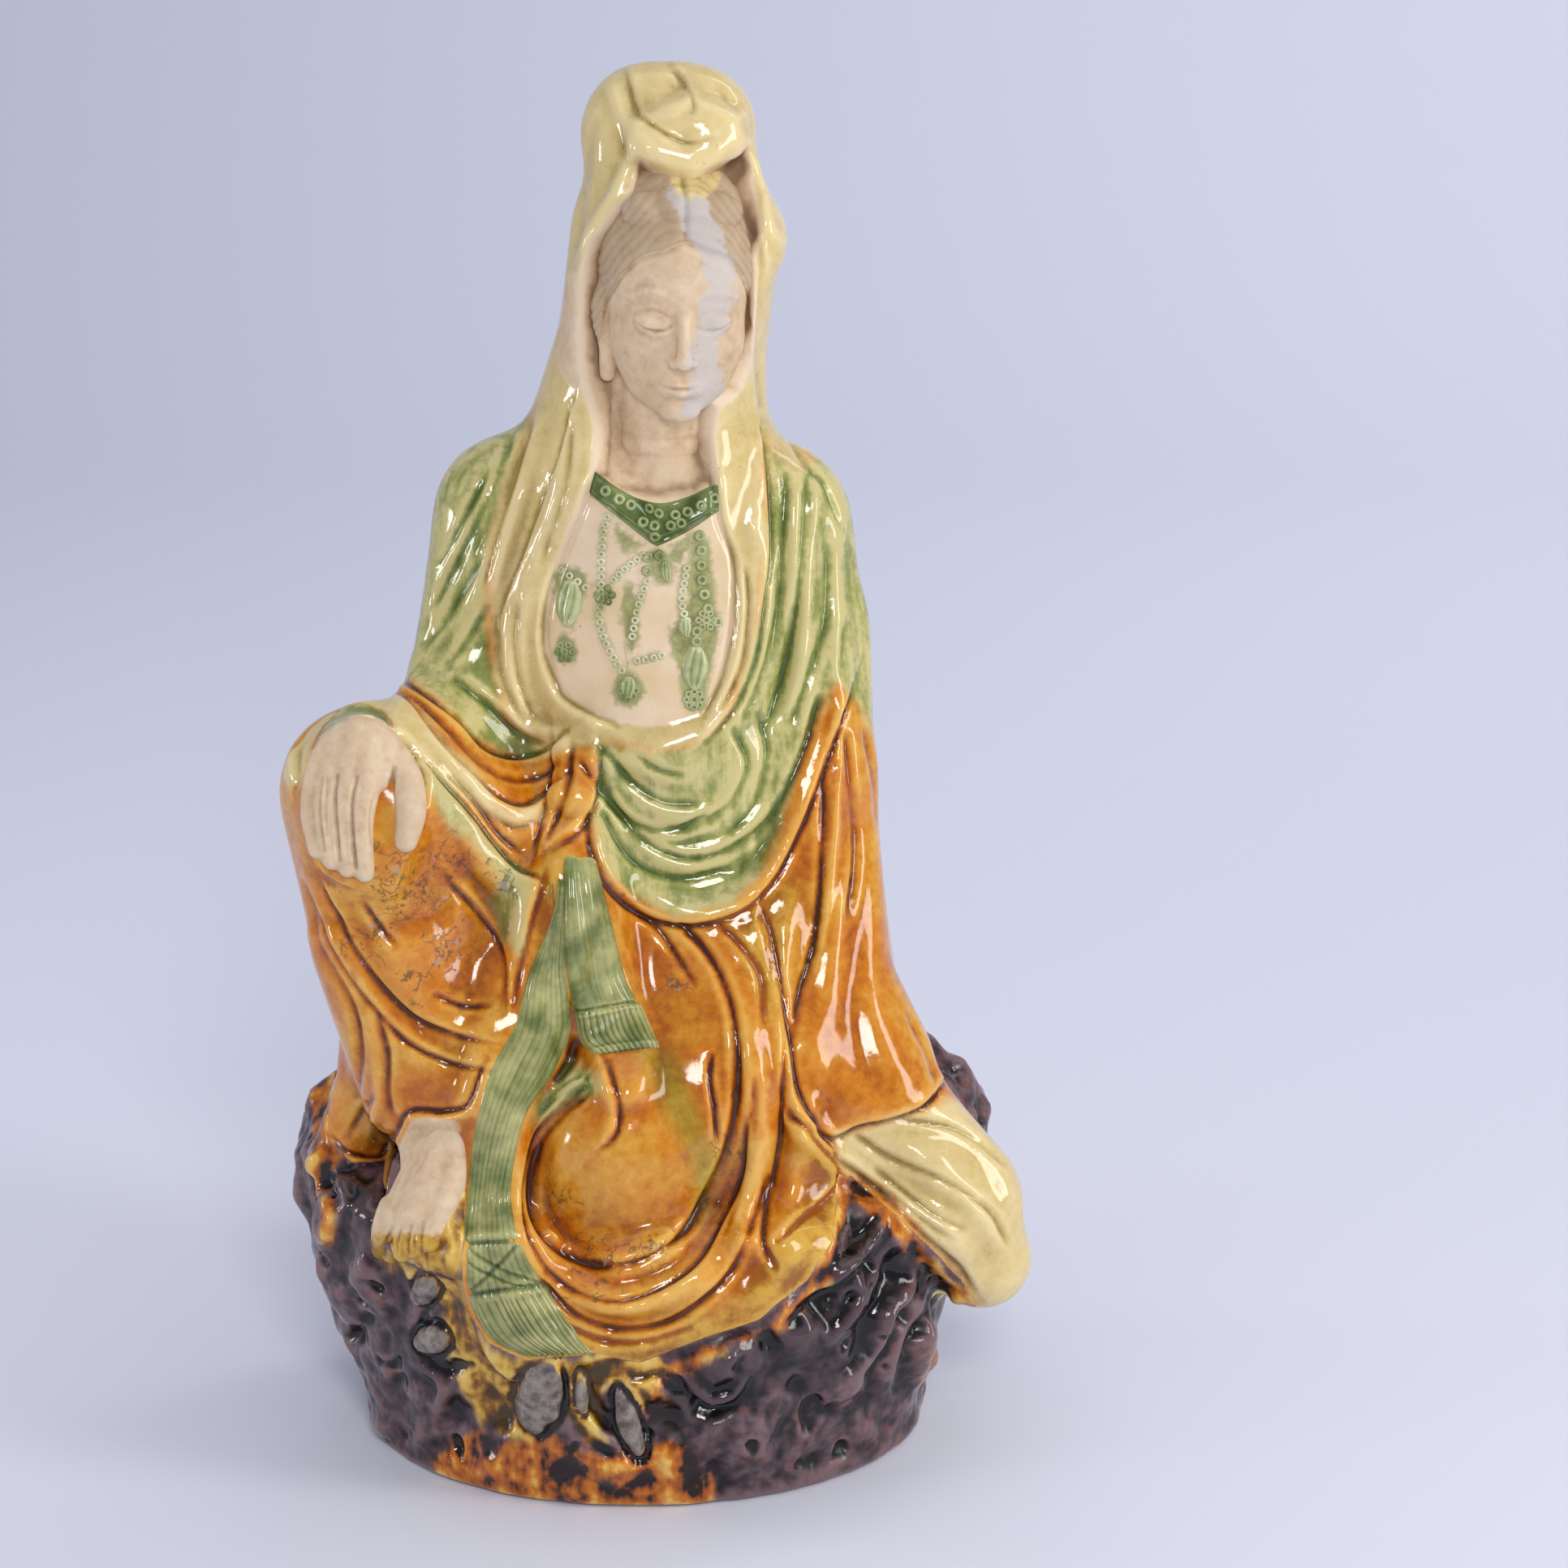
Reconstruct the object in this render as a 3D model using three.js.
// Glazed earthenware figure of a veiled immortal seated at ease on a rock, moulded and fired in one piece.
// Millimetres, +Z up. The origin is the middle of the flat underside, and the figure looks towards -Y.
// It is shaped as clay is: rounded masses are pressed together in a field of distances, the larger folds
// and hems are raised or cut from the front and the back, and the skin of that field is the solid.
import * as THREE from "three";
import { ImprovedNoise } from "three/addons/math/ImprovedNoise.js";
import { mergeVertices } from "three/addons/utils/BufferGeometryUtils.js";

// Driving dimensions
const HEIGHT = 421;
const ROCK_HALF_WIDTH = 88;
const ROCK_HALF_DEPTH = 71;
const ROCK_TOP = 92;
const ROCK_MIDDLE = 3; // x of the rock's own middle
const ROCK_SPREAD = 0.17; // how much wider the rock is at its top
const ROCK_DEEPER = 0.08; // how much deeper the rock is at its top

// Landmarks of the pose, as [x, y, z]
const HIPS = [8, 12, 150];
const HEAD = [15, -6, 346];
const RAISED_KNEE = [-75, -34, 213];
const LOW_KNEE = [-1, -43, 108];
const RAISED_SHOULDER = [-34, 14, 286];
const LOW_SHOULDER = [44, 12, 286];
const HAND = [-77, -51, 224];
const SLEEVE_END = [107, -25, 62];

// Settings of the clay
const STEP = 2.8; // spacing of the field
const NEAR = 9; // the part of the field that the relief and the rock's lumps reach
const FAR = 14; // value of the field where there is no clay
const TRIANGLES = 9800;
const UNDERSIDE = 0.01; // what is lower than this belongs to the flat underside
const ROOM = { low: [-116, -94, -7.8], high: [134, 86, HEIGHT + 8] };
const GLAZED_EARTHENWARE = new THREE.MeshStandardMaterial({
  color: 0xb9772b,
  roughness: 0.2,
  metalness: 0,
});

const { clamp, smoothstep, degToRad } = THREE.MathUtils;
const noise = new ImprovedNoise();

function smoothMin(a, b, blend) {
  const h = Math.max(blend - Math.abs(a - b), 0) / blend;
  return Math.min(a, b) - (h * h * blend) / 4;
}

// Where a point of the field lies, in millimetres.
function placeOf(i, j, k) {
  return [ROOM.low[0] + i * STEP, ROOM.low[1] + j * STEP, ROOM.low[2] + k * STEP];
}

// A block of clay: a field of distances, below zero inside.
class Clay {
  constructor() {
    this.size = ROOM.high.map((top, axis) => Math.ceil((top - ROOM.low[axis]) / STEP) + 1);
    this.field = new Float32Array(this.size[0] * this.size[1] * this.size[2]).fill(FAR);
  }

  index(i, j, k) {
    return i + this.size[0] * (j + this.size[1] * k);
  }

  // Calls visit(index, x, y, z) at each point of the field inside a box.
  each(low, high, visit) {
    const cell = (value, axis, up) =>
      clamp(Math.floor((value - ROOM.low[axis]) / STEP) + up, 0, this.size[axis]);
    const [from, to] = [low.map((v, axis) => cell(v, axis, 0)), high.map((v, axis) => cell(v, axis, 2))];
    for (let k = from[2]; k < to[2]; k++)
      for (let j = from[1]; j < to[1]; j++)
        for (let i = from[0]; i < to[0]; i++)
          visit(this.index(i, j, k), ...placeOf(i, j, k));
  }

  // Presses a shape on, with a fillet of about `blend` where it meets what is there.
  add({ distance, low, high }, blend) {
    const margin = blend + 2 * STEP;
    this.each(low.map((v) => v - margin), high.map((v) => v + margin), (n, x, y, z) => {
      this.field[n] = smoothMin(this.field[n], distance(x, y, z), blend);
    });
    return this;
  }

  // Scoops a shape out, with a rounded rim.
  cut({ distance, low, high }, blend) {
    const margin = blend + 2 * STEP;
    this.each(low.map((v) => v - margin), high.map((v) => v + margin), (n, x, y, z) => {
      this.field[n] = -smoothMin(-this.field[n], distance(x, y, z), blend);
    });
    return this;
  }

  // Joins another block of clay to this one.
  join(other, blend) {
    this.field.forEach((value, n) => {
      this.field[n] = smoothMin(value, other.field[n], blend);
    });
    return this;
  }
}

// An egg of clay with half sizes `radii`, leaning `lean` degrees about Y and nodding `nod` degrees about X.
function ball(centre, radii, lean = 0, nod = 0) {
  const turn = new THREE.Matrix4().makeRotationFromEuler(new THREE.Euler(degToRad(nod), degToRad(lean), 0));
  const m = turn.elements;
  const reach = Math.max(...radii);
  const [rx, ry, rz] = radii;
  return {
    low: centre.map((c) => c - reach),
    high: centre.map((c) => c + reach),
    distance(x, y, z) {
      const [dx, dy, dz] = [x - centre[0], y - centre[1], z - centre[2]];
      const a = (m[0] * dx + m[1] * dy + m[2] * dz) / rx;
      const b = (m[4] * dx + m[5] * dy + m[6] * dz) / ry;
      const c = (m[8] * dx + m[9] * dy + m[10] * dz) / rz;
      const outward = Math.hypot(a, b, c);
      const slope = Math.hypot(a / rx, b / ry, c / rz);
      return slope > 0 ? (outward * (outward - 1)) / slope : -Math.min(rx, ry, rz);
    },
  };
}

// A tapering roll of clay through points [x, y, z, radius].
function roll(...points) {
  const reach = (axis, sign) => Math.max(...points.map((p) => sign * p[axis] + p[3]));
  return {
    low: [0, 1, 2].map((axis) => -reach(axis, -1)),
    high: [0, 1, 2].map((axis) => reach(axis, 1)),
    distance(x, y, z) {
      let nearest = Infinity;
      for (let i = 1; i < points.length; i++) {
        const [a, b] = [points[i - 1], points[i]];
        const [ux, uy, uz] = [b[0] - a[0], b[1] - a[1], b[2] - a[2]];
        const along = ((x - a[0]) * ux + (y - a[1]) * uy + (z - a[2]) * uz) / (ux * ux + uy * uy + uz * uz);
        const t = clamp(along, 0, 1);
        const gap = Math.hypot(x - a[0] - t * ux, y - a[1] - t * uy, z - a[2] - t * uz);
        nearest = Math.min(nearest, gap - a[3] - t * (b[3] - a[3]));
      }
      return nearest;
    },
  };
}

// The heights of folds and hems, seen square from the front: x across and z up, at one cell a millimetre.
class Relief {
  constructor() {
    this.wide = ROOM.high[0] - ROOM.low[0];
    this.high = Math.ceil(ROOM.high[2] - ROOM.low[2]);
    this.map = new Float32Array(this.wide * this.high);
  }

  // Adds profile(distance, side, share along) near a smooth line through `points`.
  draw(points, reach, profile) {
    const line = new THREE.SplineCurve(points.map(([x, z]) => new THREE.Vector2(x, z)));
    const samples = line.getSpacedPoints(Math.ceil(line.getLength() / 3));
    const xs = samples.map((p) => p.x);
    const zs = samples.map((p) => p.y);
    for (let z = Math.floor(Math.min(...zs) - reach); z <= Math.max(...zs) + reach; z++)
      for (let x = Math.floor(Math.min(...xs) - reach); x <= Math.max(...xs) + reach; x++) {
        let best = { gap: Infinity };
        for (let i = 1; i < samples.length; i++) {
          const [a, b] = [samples[i - 1], samples[i]];
          const [ux, uz] = [b.x - a.x, b.y - a.y];
          const t = clamp(((x - a.x) * ux + (z - a.y) * uz) / (ux * ux + uz * uz), 0, 1);
          const [dx, dz] = [x - a.x - t * ux, z - a.y - t * uz];
          const gap = Math.hypot(dx, dz);
          if (gap >= best.gap) continue;
          const side = Math.sign(ux * dz - uz * dx);
          best = { gap, side, along: (i - 1 + t) / (samples.length - 1) };
        }
        const cell = x - ROOM.low[0] + this.wide * (z - Math.floor(ROOM.low[2]));
        if (best.gap < reach && cell >= 0 && cell < this.map.length)
          this.map[cell] += profile(best.gap, best.side, best.along);
      }
    return this;
  }

  // A rounded fold, or a groove where `height` is below zero. It fades out at both ends.
  fold(width, height, ...points) {
    return this.draw(points, width, (gap, side, along) => {
      const fade = smoothstep(Math.min(along, 1 - along), 0, 0.2);
      return height * fade * (1 - (gap / width) ** 2) ** 2;
    });
  }

  // The edge of a cloth that lies over another: a drop of `height` on the right of the line as it runs.
  hem(width, height, ...points) {
    return this.draw(points, width, (gap, side, along) => {
      const fade = smoothstep(Math.min(along, 1 - along), 0, 0.12);
      const fall = (1 - gap / width) ** 2;
      return height * fade * fall * (smoothstep(side * gap, -2, 2) - 0.3);
    });
  }

  // A band of cloth of half width `half` that stands `height` proud.
  band(half, height, ...points) {
    const edge = 1.6;
    return this.draw(points, half + edge, (gap) => {
      return height * (1 - smoothstep(gap, half - edge, half + edge));
    });
  }

  at(x, z) {
    const [cx, cz] = [x - ROOM.low[0], z - Math.floor(ROOM.low[2])];
    const [i, k] = [Math.floor(cx), Math.floor(cz)];
    if (i < 0 || k < 0 || i > this.wide - 2 || k > this.high - 2) return 0;
    const [s, t] = [cx - i, cz - k];
    const n = i + this.wide * k;
    const lower = this.map[n] * (1 - s) + this.map[n + 1] * s;
    return lower * (1 - t) + (this.map[n + this.wide] * (1 - s) + this.map[n + this.wide + 1] * s) * t;
  }
}

// The rock: an oval stump that spreads upwards, with a low boulder at one side and a round one behind.
function rock() {
  const stump = {
    low: [-114, -90, -6],
    high: [120, 84, ROCK_TOP + 14],
    distance(x, y, z) {
      const across = (x - ROCK_MIDDLE) / ROCK_HALF_WIDTH / (1 + ROCK_SPREAD * smoothstep(z, 0, ROCK_TOP));
      const deep = y / ROCK_HALF_DEPTH / (1 + ROCK_DEEPER * smoothstep(z, 0, 60));
      const side = (Math.hypot(across, deep) - 1) * ROCK_HALF_DEPTH;
      return -smoothMin(-side, ROCK_TOP - z, 16);
    },
  };
  const clay = new Clay();
  clay.add(stump, 1);
  clay.add(ball([-84, 16, 88], [19, 26, 24]), 10);
  clay.add(ball([-80, -2, 56], [18, 30, 26]), 12);
  clay.add(ball([-52, 48, 84], [24, 18, 15]), 10);
  clay.add(ball([76, 32, 74], [39, 30, 42]), 8);
  clay.cut(ball([76, -68, 84], [13, 17, 18]), 5);
  clay.cut(ball([98, -62, 22], [12, 20, 20]), 6);
  clay.each(ROOM.low, ROOM.high, (n, x, y, z) => {
    if (Math.abs(clay.field[n]) > NEAR) return;
    const lumps = 5 * noise.noise(x / 19, y / 19, z / 17);
    const pits = 1.6 * noise.noise(x / 10 + 9, y / 10, z / 10);
    clay.field[n] -= (lumps + pits) * smoothstep(z, -2, 16);
  });
  return clay;
}

// Torso, hips and the robe that spreads over the rock and falls straight down the back.
function body(clay) {
  const [x, y, z] = HIPS;
  clay.add(ball(HIPS, [58, 46, 52]), 1);
  clay.add(roll([x, y + 6, z, 46], [x, y + 4, z - 46, 54]), 16);
  clay.add(ball([x + 1, y - 6, z + 55], [48, 38, 48]), 16);
  clay.add(ball([x, y - 3, z + 108], [52, 32, 50]), 14);
  clay.add(roll([...RAISED_SHOULDER, 22], [8, 12, 296, 24], [44, 13, 284, 22]), 14);
  clay.add(roll([14, -2, 122, 46], [18, -14, 92, 44]), 14);
  clay.add(roll([8, 24, 300, 30], [8, 26, 240, 36], [8, 24, 170, 44], [8, 17, 118, 49]), 18);
  clay.add(roll([-34, 8, 150, 34], [-52, 0, 108, 28], [-60, 2, 84, 22]), 16);
  clay.add(roll([46, 14, 150, 34], [58, 10, 104, 28]), 16);
}

// The leg with its knee up, under a robe that trails over the rock.
function raisedLeg(clay) {
  clay.add(roll([-8, 4, 162, 34], [-70, -26, 206, 27]), 12);
  clay.add(roll([...RAISED_KNEE, 26], [-69, -34, 168, 25], [-58, -34, 124, 23]), 10);
  clay.add(roll([-71, -16, 150, 16], [-77, -14, 118, 13], [-91, -14, 90, 8]), 9);
  clay.add(roll([-50, -38, 140, 20], [-42, -42, 126, 16]), 8);
  clay.add(roll([-26, -26, 170, 22], [-30, -36, 120, 22], [-34, -48, 76, 20], [-28, -56, 50, 14]), 12);
}

// The leg that lies low, its knee forward at the middle of the rock.
function restingLeg(clay) {
  clay.add(roll([34, 0, 162, 32], [30, -22, 130, 30], [2, -40, 106, 27]), 12);
  clay.add(ball(LOW_KNEE, [30, 28, 31]), 4);
  clay.add(roll([-24, -52, 76, 14], [6, -58, 66, 16], [44, -46, 76, 15]), 10);
  clay.add(roll([42, -28, 130, 22], [52, -32, 90, 18]), 10);
}

function raisedArm(clay) {
  clay.add(roll([...RAISED_SHOULDER, 22], [-40, 12, 262, 22], [-43, 8, 238, 23]), 10);
  clay.add(roll([-43, 6, 230, 21], [-62, -16, 220, 17], [-78, -34, 215, 20]), 7);
}

// The arm that hangs at the side, in a wide sleeve that runs down over the rock.
function restingArm(clay) {
  clay.add(roll([...LOW_SHOULDER, 19], [52, 9, 252, 21], [53, 4, 208, 21]), 8);
  clay.add(roll([53, 4, 208, 21], [54, -10, 145, 26], [66, -18, 120, 27]), 6);
  clay.add(roll([82, -22, 104, 19], [97, -25, 80, 23], [...SLEEVE_END, 16]), 5);
}

// The tall veil, nearly flat on top, with a kink over one ear. It is open in front and widens
// over the shoulders.
function veil(clay) {
  const crown = HEIGHT - 20;
  clay.add(roll([7, 12, crown, 19], [20, 10, crown, 19]), 1);
  const fall = [[15, 9, 370, 31], [11, 12, 340, 31], [7, 16, 314, 35], [4, 15, 296, 40]];
  clay.add(roll([11, 12, crown - 5, 22], ...fall), 6);
  clay.add(ball([38, -2, 371], [10, 11, 12]), 5);
  clay.cut(ball([15, -38, 336], [23, 34, 52]), 4);
}

function head(clay) {
  const [x, y, z] = HEAD;
  clay.add(roll([x - 3, y + 6, z - 46, 17], [x - 1, y + 3, z - 20, 15]), 4);
  clay.add(ball(HEAD, [21, 23, 29], 0, 6), 6);
  clay.add(ball([x, y + 4, z + 26], [19, 20, 17]), 3);
}

// The hand that hangs over the raised knee, with four fingers and the thumb.
function hand(clay) {
  clay.add(ball(HAND, [16, 11, 20], 6, -16), 4);
  for (let finger = 0; finger < 4; finger++) {
    const x = -88 + 7 * finger;
    const tip = 197 - 2.6 * finger;
    clay.add(roll([x, -57, 216, 4.6], [x - 1, -62, 208, 4.4], [x - 1 + finger, -63, tip, 3.8]), 1.5);
  }
  clay.add(roll([-65, -54, 222, 6], [-59, -59, 211, 4.8], [-61, -62, 203, 4]), 2);
}

function foot(clay) {
  clay.add(roll([-54, -44, 122, 12], [-57, -54, 104, 12], [-62, -64, 90, 10]), 4);
  clay.add(roll([-70, -62, 88, 6], [-55, -70, 84, 6]), 5);
}

// Hems, sashes and the deeper folds of the drapery, as [x, z] seen from the front.
function drapery() {
  const relief = new Relief();
  const veilRim = [
    [-10, 322], [-12, 348], [-9, 366], [0, 382], [7, 397],
    [19, 392], [32, 398], [39, 385], [38, 364], [35, 326],
  ];
  const crownFolds = [[[3, 416], [7, 408], [15, 399], [25, 399]], [[13, 419], [20, 411], [18, 405]]];
  const robeOpening = [
    [37, 325], [39, 306], [37, 289], [39, 272], [38, 252], [31, 236], [14, 229], [-2, 224],
    [-13, 224], [-26, 229], [-31, 240], [-31, 252], [-26, 271], [-19, 292], [-12, 311], [-8, 327],
  ];
  relief.hem(9, 7, ...veilRim);
  crownFolds.forEach((fold) => relief.fold(4.5, -3, ...fold));
  relief.hem(8, 6, ...robeOpening);
  relief.hem(5, 3, [-8, 306], [6, 293], [14, 284], [22, 293], [34, 304]);

  // Cape over both arms, and its swag below the waist
  const capeEdge = [[-9, 206], [-2, 188], [14, 176], [31, 175], [45, 185], [52, 204], [61, 232]];
  const capeFolds = [
    [[-27, 313], [-41, 290], [-51, 265], [-54, 252]],
    [[-18, 310], [-31, 281], [-41, 254], [-41, 239]],
    [[42, 308], [45, 276], [46, 244], [38, 224]],
    [[55, 298], [58, 265], [56, 227], [45, 201]],
    [[66, 286], [69, 254], [67, 226]],
    [[-13, 221], [-3, 207], [16, 198], [34, 205], [43, 221]],
    [[-6, 209], [4, 190], [21, 183], [39, 192], [51, 213]],
    [[-7, 221], [5, 213], [19, 210], [31, 218]],
  ];
  relief.hem(9, 6, ...capeEdge);
  capeFolds.forEach((fold) => relief.fold(6, -3.5, ...fold));

  // Wide sleeve and its turned-back cuff
  const sleeveFolds = [
    [[67, 212], [69, 179], [67, 146], [74, 125], [86, 126]],
    [[52, 199], [55, 169], [51, 145], [57, 116]],
    [[74, 110], [91, 108], [106, 95], [116, 72]],
    [[72, 103], [86, 94], [101, 82], [111, 60]],
    [[70, 96], [82, 87], [94, 72], [103, 58]],
  ];
  relief.hem(9, 6, [46, 183], [44, 158], [44, 140], [49, 117], [62, 100], [79, 86], [99, 57]);
  sleeveFolds.forEach((fold) => relief.fold(5.5, -3.2, ...fold));

  // Cloth drawn over the raised knee and tied at the waist, and folds down the shin
  relief.fold(8, 4, [-90, 239], [-75, 245], [-56, 238], [-43, 219], [-29, 205], [-17, 201]);
  relief.fold(7, 4, [-58, 227], [-49, 209], [-38, 193], [-26, 186]);
  relief.fold(6, -3.5, [-79, 186], [-70, 161], [-54, 143], [-40, 138]);
  relief.fold(6, -3.5, [-49, 198], [-38, 179], [-33, 163], [-36, 149]);
  relief.fold(8, 5, [-20, 206], [-14, 212], [-10, 204]);

  // The low knee inside its rings of cloth, the skirt beside it, and the hem on the rock
  const kneeRing = [
    [-29, 116], [-31, 97], [-24, 83], [-7, 72], [12, 72],
    [29, 82], [38, 100], [39, 126], [34, 149], [26, 166],
  ];
  relief.fold(6, 4, ...kneeRing);
  relief.fold(5, -4, [-22, 131], [-26, 109], [-24, 92], [-12, 80], [5, 78], [21, 87], [31, 104], [31, 122]);
  relief.fold(5, -3, [38, 170], [45, 146], [46, 112], [38, 87]);
  relief.fold(5, 3, [52, 151], [55, 129], [51, 104], [45, 78]);
  relief.hem(8, 6, [-27, 45], [-3, 53], [21, 60], [45, 74], [57, 86], [65, 92]);

  // Two sashes
  relief.band(11, 5, [-19, 187], [-24, 167], [-33, 144], [-41, 116], [-43, 91], [-37, 68], [-29, 50]);
  relief.band(9, 5, [-13, 195], [-9, 175], [-5, 154], [0, 137]);
  return relief;
}

// Long folds of the veil and robe down the back, plainer than the front.
function backDrapery() {
  const relief = new Relief();
  const folds = [
    [[-8, 352], [-22, 300], [-34, 230], [-46, 150]],
    [[6, 362], [0, 300], [-8, 220], [-14, 130]],
    [[18, 360], [20, 290], [20, 210], [24, 130]],
    [[30, 350], [40, 300], [46, 230], [60, 150]],
  ];
  folds.forEach((fold) => relief.fold(9, -3.5, ...fold));
  return relief;
}

// The figure and its rock as one block of clay, with the relief raised on what faces the front or the back.
function modelledFigure() {
  const figure = new Clay();
  const masses = [body, raisedLeg, restingLeg, raisedArm, restingArm, veil, head, hand, foot];
  masses.forEach((press) => press(figure));
  figure.join(rock(), 3);
  const [front, back] = [drapery(), backDrapery()];
  const before = figure.field.slice();
  const [row, sheet] = [figure.size[0], figure.size[0] * figure.size[1]];
  figure.each(ROOM.low.map((v) => v + 2 * STEP), ROOM.high.map((v) => v - 2 * STEP), (n, x, y, z) => {
    if (Math.abs(before[n]) > NEAR) return;
    const across = before[n + 1] - before[n - 1];
    const deep = before[n + row] - before[n - row];
    const up = before[n + sheet] - before[n - sheet];
    const facing = -deep / (Math.hypot(across, deep, up) + 1e-6);
    const relief = facing > 0 ? front : back;
    figure.field[n] -= relief.at(x, z) * smoothstep(Math.abs(facing), 0.05, 0.45);
  });
  // The flat underside
  figure.each(ROOM.low, ROOM.high, (n, x, y, z) => {
    figure.field[n] = Math.max(figure.field[n], -z);
  });
  fillPinches(figure);
  return figure;
}

// Fills the pinches, where clay meets clay only across a diagonal, so that one closed skin fits round it.
function fillPinches(clay) {
  const { field, size } = clay;
  const corners = [0, 1, 2, 3, 4, 5, 6, 7];
  const reach = corners.map((c) => clay.index(c & 1, (c >> 1) & 1, c >> 2));
  const sideOf = (axis, side) => corners.filter((c) => (c & axis) === side);
  const squares = [1, 2, 4].flatMap((axis) => [sideOf(axis, 0), sideOf(axis, axis)]);
  const diagonal = ([a, b, c, d], inside) => {
    return inside[a] === inside[d] && inside[b] === inside[c] && inside[a] !== inside[b];
  };
  for (let filled = true; filled; ) {
    filled = false;
    for (let k = 0; k < size[2] - 1; k++)
      for (let j = 0; j < size[1] - 1; j++)
        for (let i = 0; i < size[0] - 1; i++) {
          const n = clay.index(i, j, k);
          const inside = reach.map((offset) => field[n + offset] < 0);
          const count = inside.filter((v) => v).length;
          if (count < 2 || count > 6) continue;
          const across = corners.some((c) => inside[c] === inside[7 - c] && count === (inside[c] ? 2 : 6));
          const pinched = squares.some((square) => diagonal(square, inside));
          if (!pinched && !across) continue;
          const open = corners.filter((c) => !inside[c]).map((c) => n + reach[c]);
          const nearest = open.reduce((a, b) => (field[a] < field[b] ? a : b));
          field[nearest] = -0.1;
          filled = true;
        }
  }
}

// The skin of a block of clay: one point for each cell that the surface crosses, and two triangles
// for each crossed edge.
function skin(clay) {
  const { field, size } = clay;
  const strides = [1, size[0], size[0] * size[1]];
  const corners = [0, 1, 2, 3, 4, 5, 6, 7].map((c) => [c & 1, (c >> 1) & 1, (c >> 2) & 1]);
  const edges = [1, 2, 4].flatMap((axis) => {
    return corners.flatMap((_, c) => (c & axis ? [] : [[c, c | axis]]));
  });
  const pointOf = new Int32Array(field.length).fill(-1);
  const points = [];
  for (let k = 0; k < size[2] - 1; k++)
    for (let j = 0; j < size[1] - 1; j++)
      for (let i = 0; i < size[0] - 1; i++) {
        const n = clay.index(i, j, k);
        const values = corners.map((corner) => field[n + clay.index(...corner)]);
        const crossed = edges.filter(([a, b]) => values[a] < 0 !== values[b] < 0);
        if (!crossed.length) continue;
        const sum = [0, 0, 0];
        for (const [a, b] of crossed) {
          const t = values[a] / (values[a] - values[b]);
          for (let axis = 0; axis < 3; axis++)
            sum[axis] += corners[a][axis] + t * (corners[b][axis] - corners[a][axis]);
        }
        pointOf[n] = points.length;
        const [x, y, z] = sum.map((v) => v / crossed.length);
        points.push(new THREE.Vector3(...placeOf(i + x, j + y, k + z)));
      }
  const triangles = [];
  for (let k = 1; k < size[2] - 1; k++)
    for (let j = 1; j < size[1] - 1; j++)
      for (let i = 1; i < size[0] - 1; i++) {
        const n = clay.index(i, j, k);
        for (let axis = 0; axis < 3; axis++) {
          const [inside, next] = [field[n] < 0, field[n + strides[axis]] < 0];
          if (inside === next) continue;
          const [u, v] = [strides[(axis + 1) % 3], strides[(axis + 2) % 3]];
          const square = [n, n - u, n - u - v, n - v].map((m) => pointOf[m]);
          if (next) square.reverse();
          const [a, b, c, d] = square;
          triangles.push([a, b, c], [a, c, d]);
        }
      }
  for (const point of points) if (point.z < UNDERSIDE) point.z = 0;
  return { points, triangles };
}

// A quadric: the sum of squared distances to planes, as the upper half of a symmetric 4 by 4 matrix.
// The plane has the normal [a, b, c] and lies -d along it.
function planeQuadric([a, b, c], d, weight) {
  return [a * a, a * b, a * c, a * d, b * b, b * c, b * d, c * c, c * d, d * d].map((v) => v * weight);
}

function quadricError(q, { x, y, z }) {
  const squares = q[0] * x * x + q[4] * y * y + q[7] * z * z + q[9];
  return squares + 2 * (q[1] * x * y + q[2] * x * z + q[5] * y * z + q[3] * x + q[6] * y + q[8] * z);
}

// The point that a quadric likes best, or the middle of `a` and `b` where it has no clear one.
function bestPoint(q, a, b) {
  const middle = a.clone().lerp(b, 0.5);
  const matrix = new THREE.Matrix3().set(q[0], q[1], q[2], q[1], q[4], q[5], q[2], q[5], q[7]);
  const size = q[0] + q[4] + q[7];
  if (Math.abs(matrix.determinant()) < 1e-5 * size ** 3) return middle;
  const point = new THREE.Vector3(-q[3], -q[6], -q[8]).applyMatrix3(matrix.invert());
  return point.distanceTo(middle) < a.distanceTo(b) ? point : middle;
}

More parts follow.
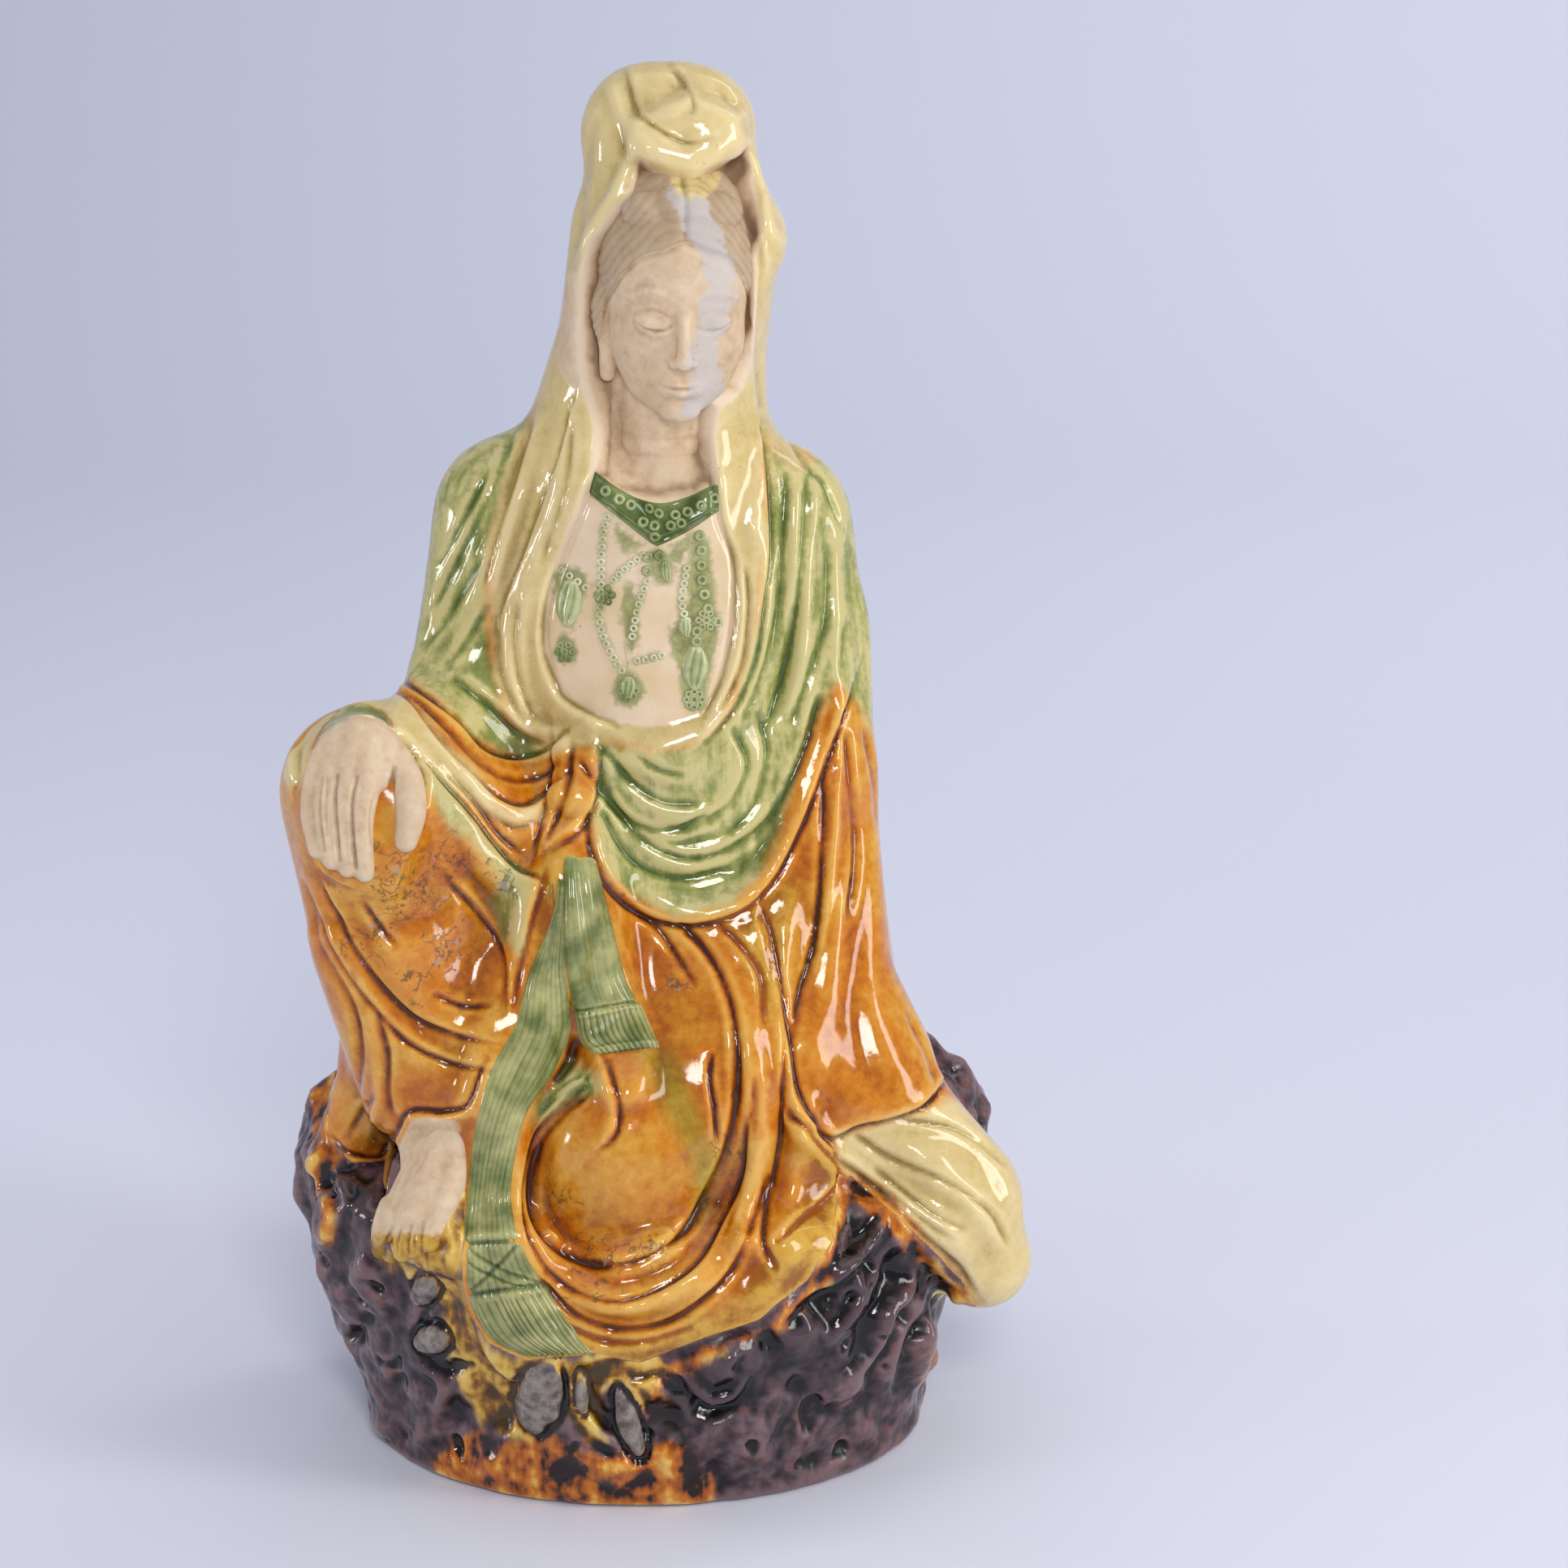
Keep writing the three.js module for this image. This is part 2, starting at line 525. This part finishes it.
// Thins a closed skin to `wanted` triangles. It shrinks the edges to points that change the shape least,
// and leaves alone the edges between the underside and the rest.
class Thinner {
  constructor({ points, triangles }) {
    this.points = points;
    this.faces = triangles;
    this.left = triangles.length;
    this.around = points.map(() => new Set());
    this.quadrics = points.map(() => new Array(10).fill(0));
    this.stamps = new Uint32Array(points.length);
    this.heap = [];
    triangles.forEach((face, f) => {
      const normal = this.normalOf(face);
      const area = normal.length();
      if (area > 0) normal.divideScalar(area);
      const plane = planeQuadric(normal.toArray(), -normal.dot(points[face[0]]), area);
      for (const corner of face) {
        this.around[corner].add(f);
        plane.forEach((v, i) => (this.quadrics[corner][i] += v));
      }
    });
    for (const face of triangles)
      for (const [a, b] of [[0, 1], [1, 2], [2, 0]])
        if (face[a] < face[b]) this.offer(face[a], face[b]);
  }

  normalOf(face, moved, to) {
    const [a, b, c] = face.map((corner) => (moved?.includes(corner) ? to : this.points[corner]));
    return b.clone().sub(a).cross(c.clone().sub(a));
  }

  neighbours(corner) {
    const found = new Set([...this.around[corner]].flatMap((f) => this.faces[f]));
    found.delete(corner);
    return found;
  }

  // Puts the edge a-b in the heap, cheapest first.
  offer(a, b) {
    const [pa, pb] = [this.points[a], this.points[b]];
    const [flatA, flatB] = [pa.z < UNDERSIDE, pb.z < UNDERSIDE];
    if (flatA !== flatB) return;
    const quadric = this.quadrics[a].map((v, i) => v + this.quadrics[b][i]);
    const point = flatA ? pa.clone().lerp(pb, 0.5) : bestPoint(quadric, pa, pb);
    if (!flatA) point.z = Math.max(point.z, 2 * UNDERSIDE);
    const cost = quadricError(quadric, point) + 1e-4 * pa.distanceToSquared(pb);
    const item = { a, b, cost, point, quadric, stamp: this.stamps[a] + this.stamps[b] };
    let n = this.heap.push(item) - 1;
    for (let up = (n - 1) >> 1; n > 0 && this.heap[up].cost > cost; up = (n - 1) >> 1) {
      this.heap[n] = this.heap[up];
      n = up;
    }
    this.heap[n] = item;
  }

  cheapest() {
    const top = this.heap[0];
    const last = this.heap.pop();
    let n = 0;
    for (let down = 1; down < this.heap.length; down = 2 * n + 1) {
      if (this.heap[down + 1]?.cost < this.heap[down].cost) down++;
      if (this.heap[down].cost >= last.cost) break;
      this.heap[n] = this.heap[down];
      n = down;
    }
    if (this.heap.length) this.heap[n] = last;
    return top;
  }

  // Whether the edge can shrink with the skin still closed and no face turned over or drawn to a needle.
  canShrink({ a, b, point }) {
    const nextToA = this.neighbours(a);
    const shared = [...this.neighbours(b)].filter((corner) => nextToA.has(corner));
    if (shared.length !== 2) return false;
    for (const f of new Set([...this.around[a], ...this.around[b]])) {
      const face = this.faces[f];
      if (face.includes(a) && face.includes(b)) continue;
      const [before, after] = [this.normalOf(face), this.normalOf(face, [a, b], point)];
      if (after.length() < 0.05 || before.dot(after) < 0.3 * before.length() * after.length()) return false;
    }
    return true;
  }

  shrink({ a, b, point, quadric }) {
    for (const f of [...this.around[b]]) {
      const face = this.faces[f];
      if (face.includes(a)) {
        face.forEach((corner) => this.around[corner].delete(f));
        this.faces[f] = null;
        this.left--;
      } else {
        face[face.indexOf(b)] = a;
        this.around[a].add(f);
      }
    }
    this.around[b].clear();
    this.points[a] = point;
    this.quadrics[a] = quadric;
    this.stamps[a] += this.stamps[b] + 1;
    this.stamps[b] += 1e6;
    for (const corner of this.neighbours(a)) this.offer(a, corner);
  }

  thin(wanted) {
    while (this.left > wanted && this.heap.length) {
      const edge = this.cheapest();
      const fresh = edge.stamp === this.stamps[edge.a] + this.stamps[edge.b];
      if (fresh && this.around[edge.b].size && this.canShrink(edge)) this.shrink(edge);
    }
    return this.faces.filter((face) => face);
  }
}

function figureGeometry() {
  const thinner = new Thinner(skin(modelledFigure()));
  const geometry = new THREE.BufferGeometry();
  const corners = thinner.thin(TRIANGLES).flat();
  const positions = corners.flatMap((corner) => thinner.points[corner].toArray());
  geometry.setAttribute("position", new THREE.Float32BufferAttribute(positions, 3));
  return mergeVertices(geometry, 1e-5);
}

const root = new THREE.Group();
const glazedFigure = new THREE.Mesh(figureGeometry(), GLAZED_EARTHENWARE);
glazedFigure.name = "glazed_figure";
root.add(glazedFigure);

export default root;
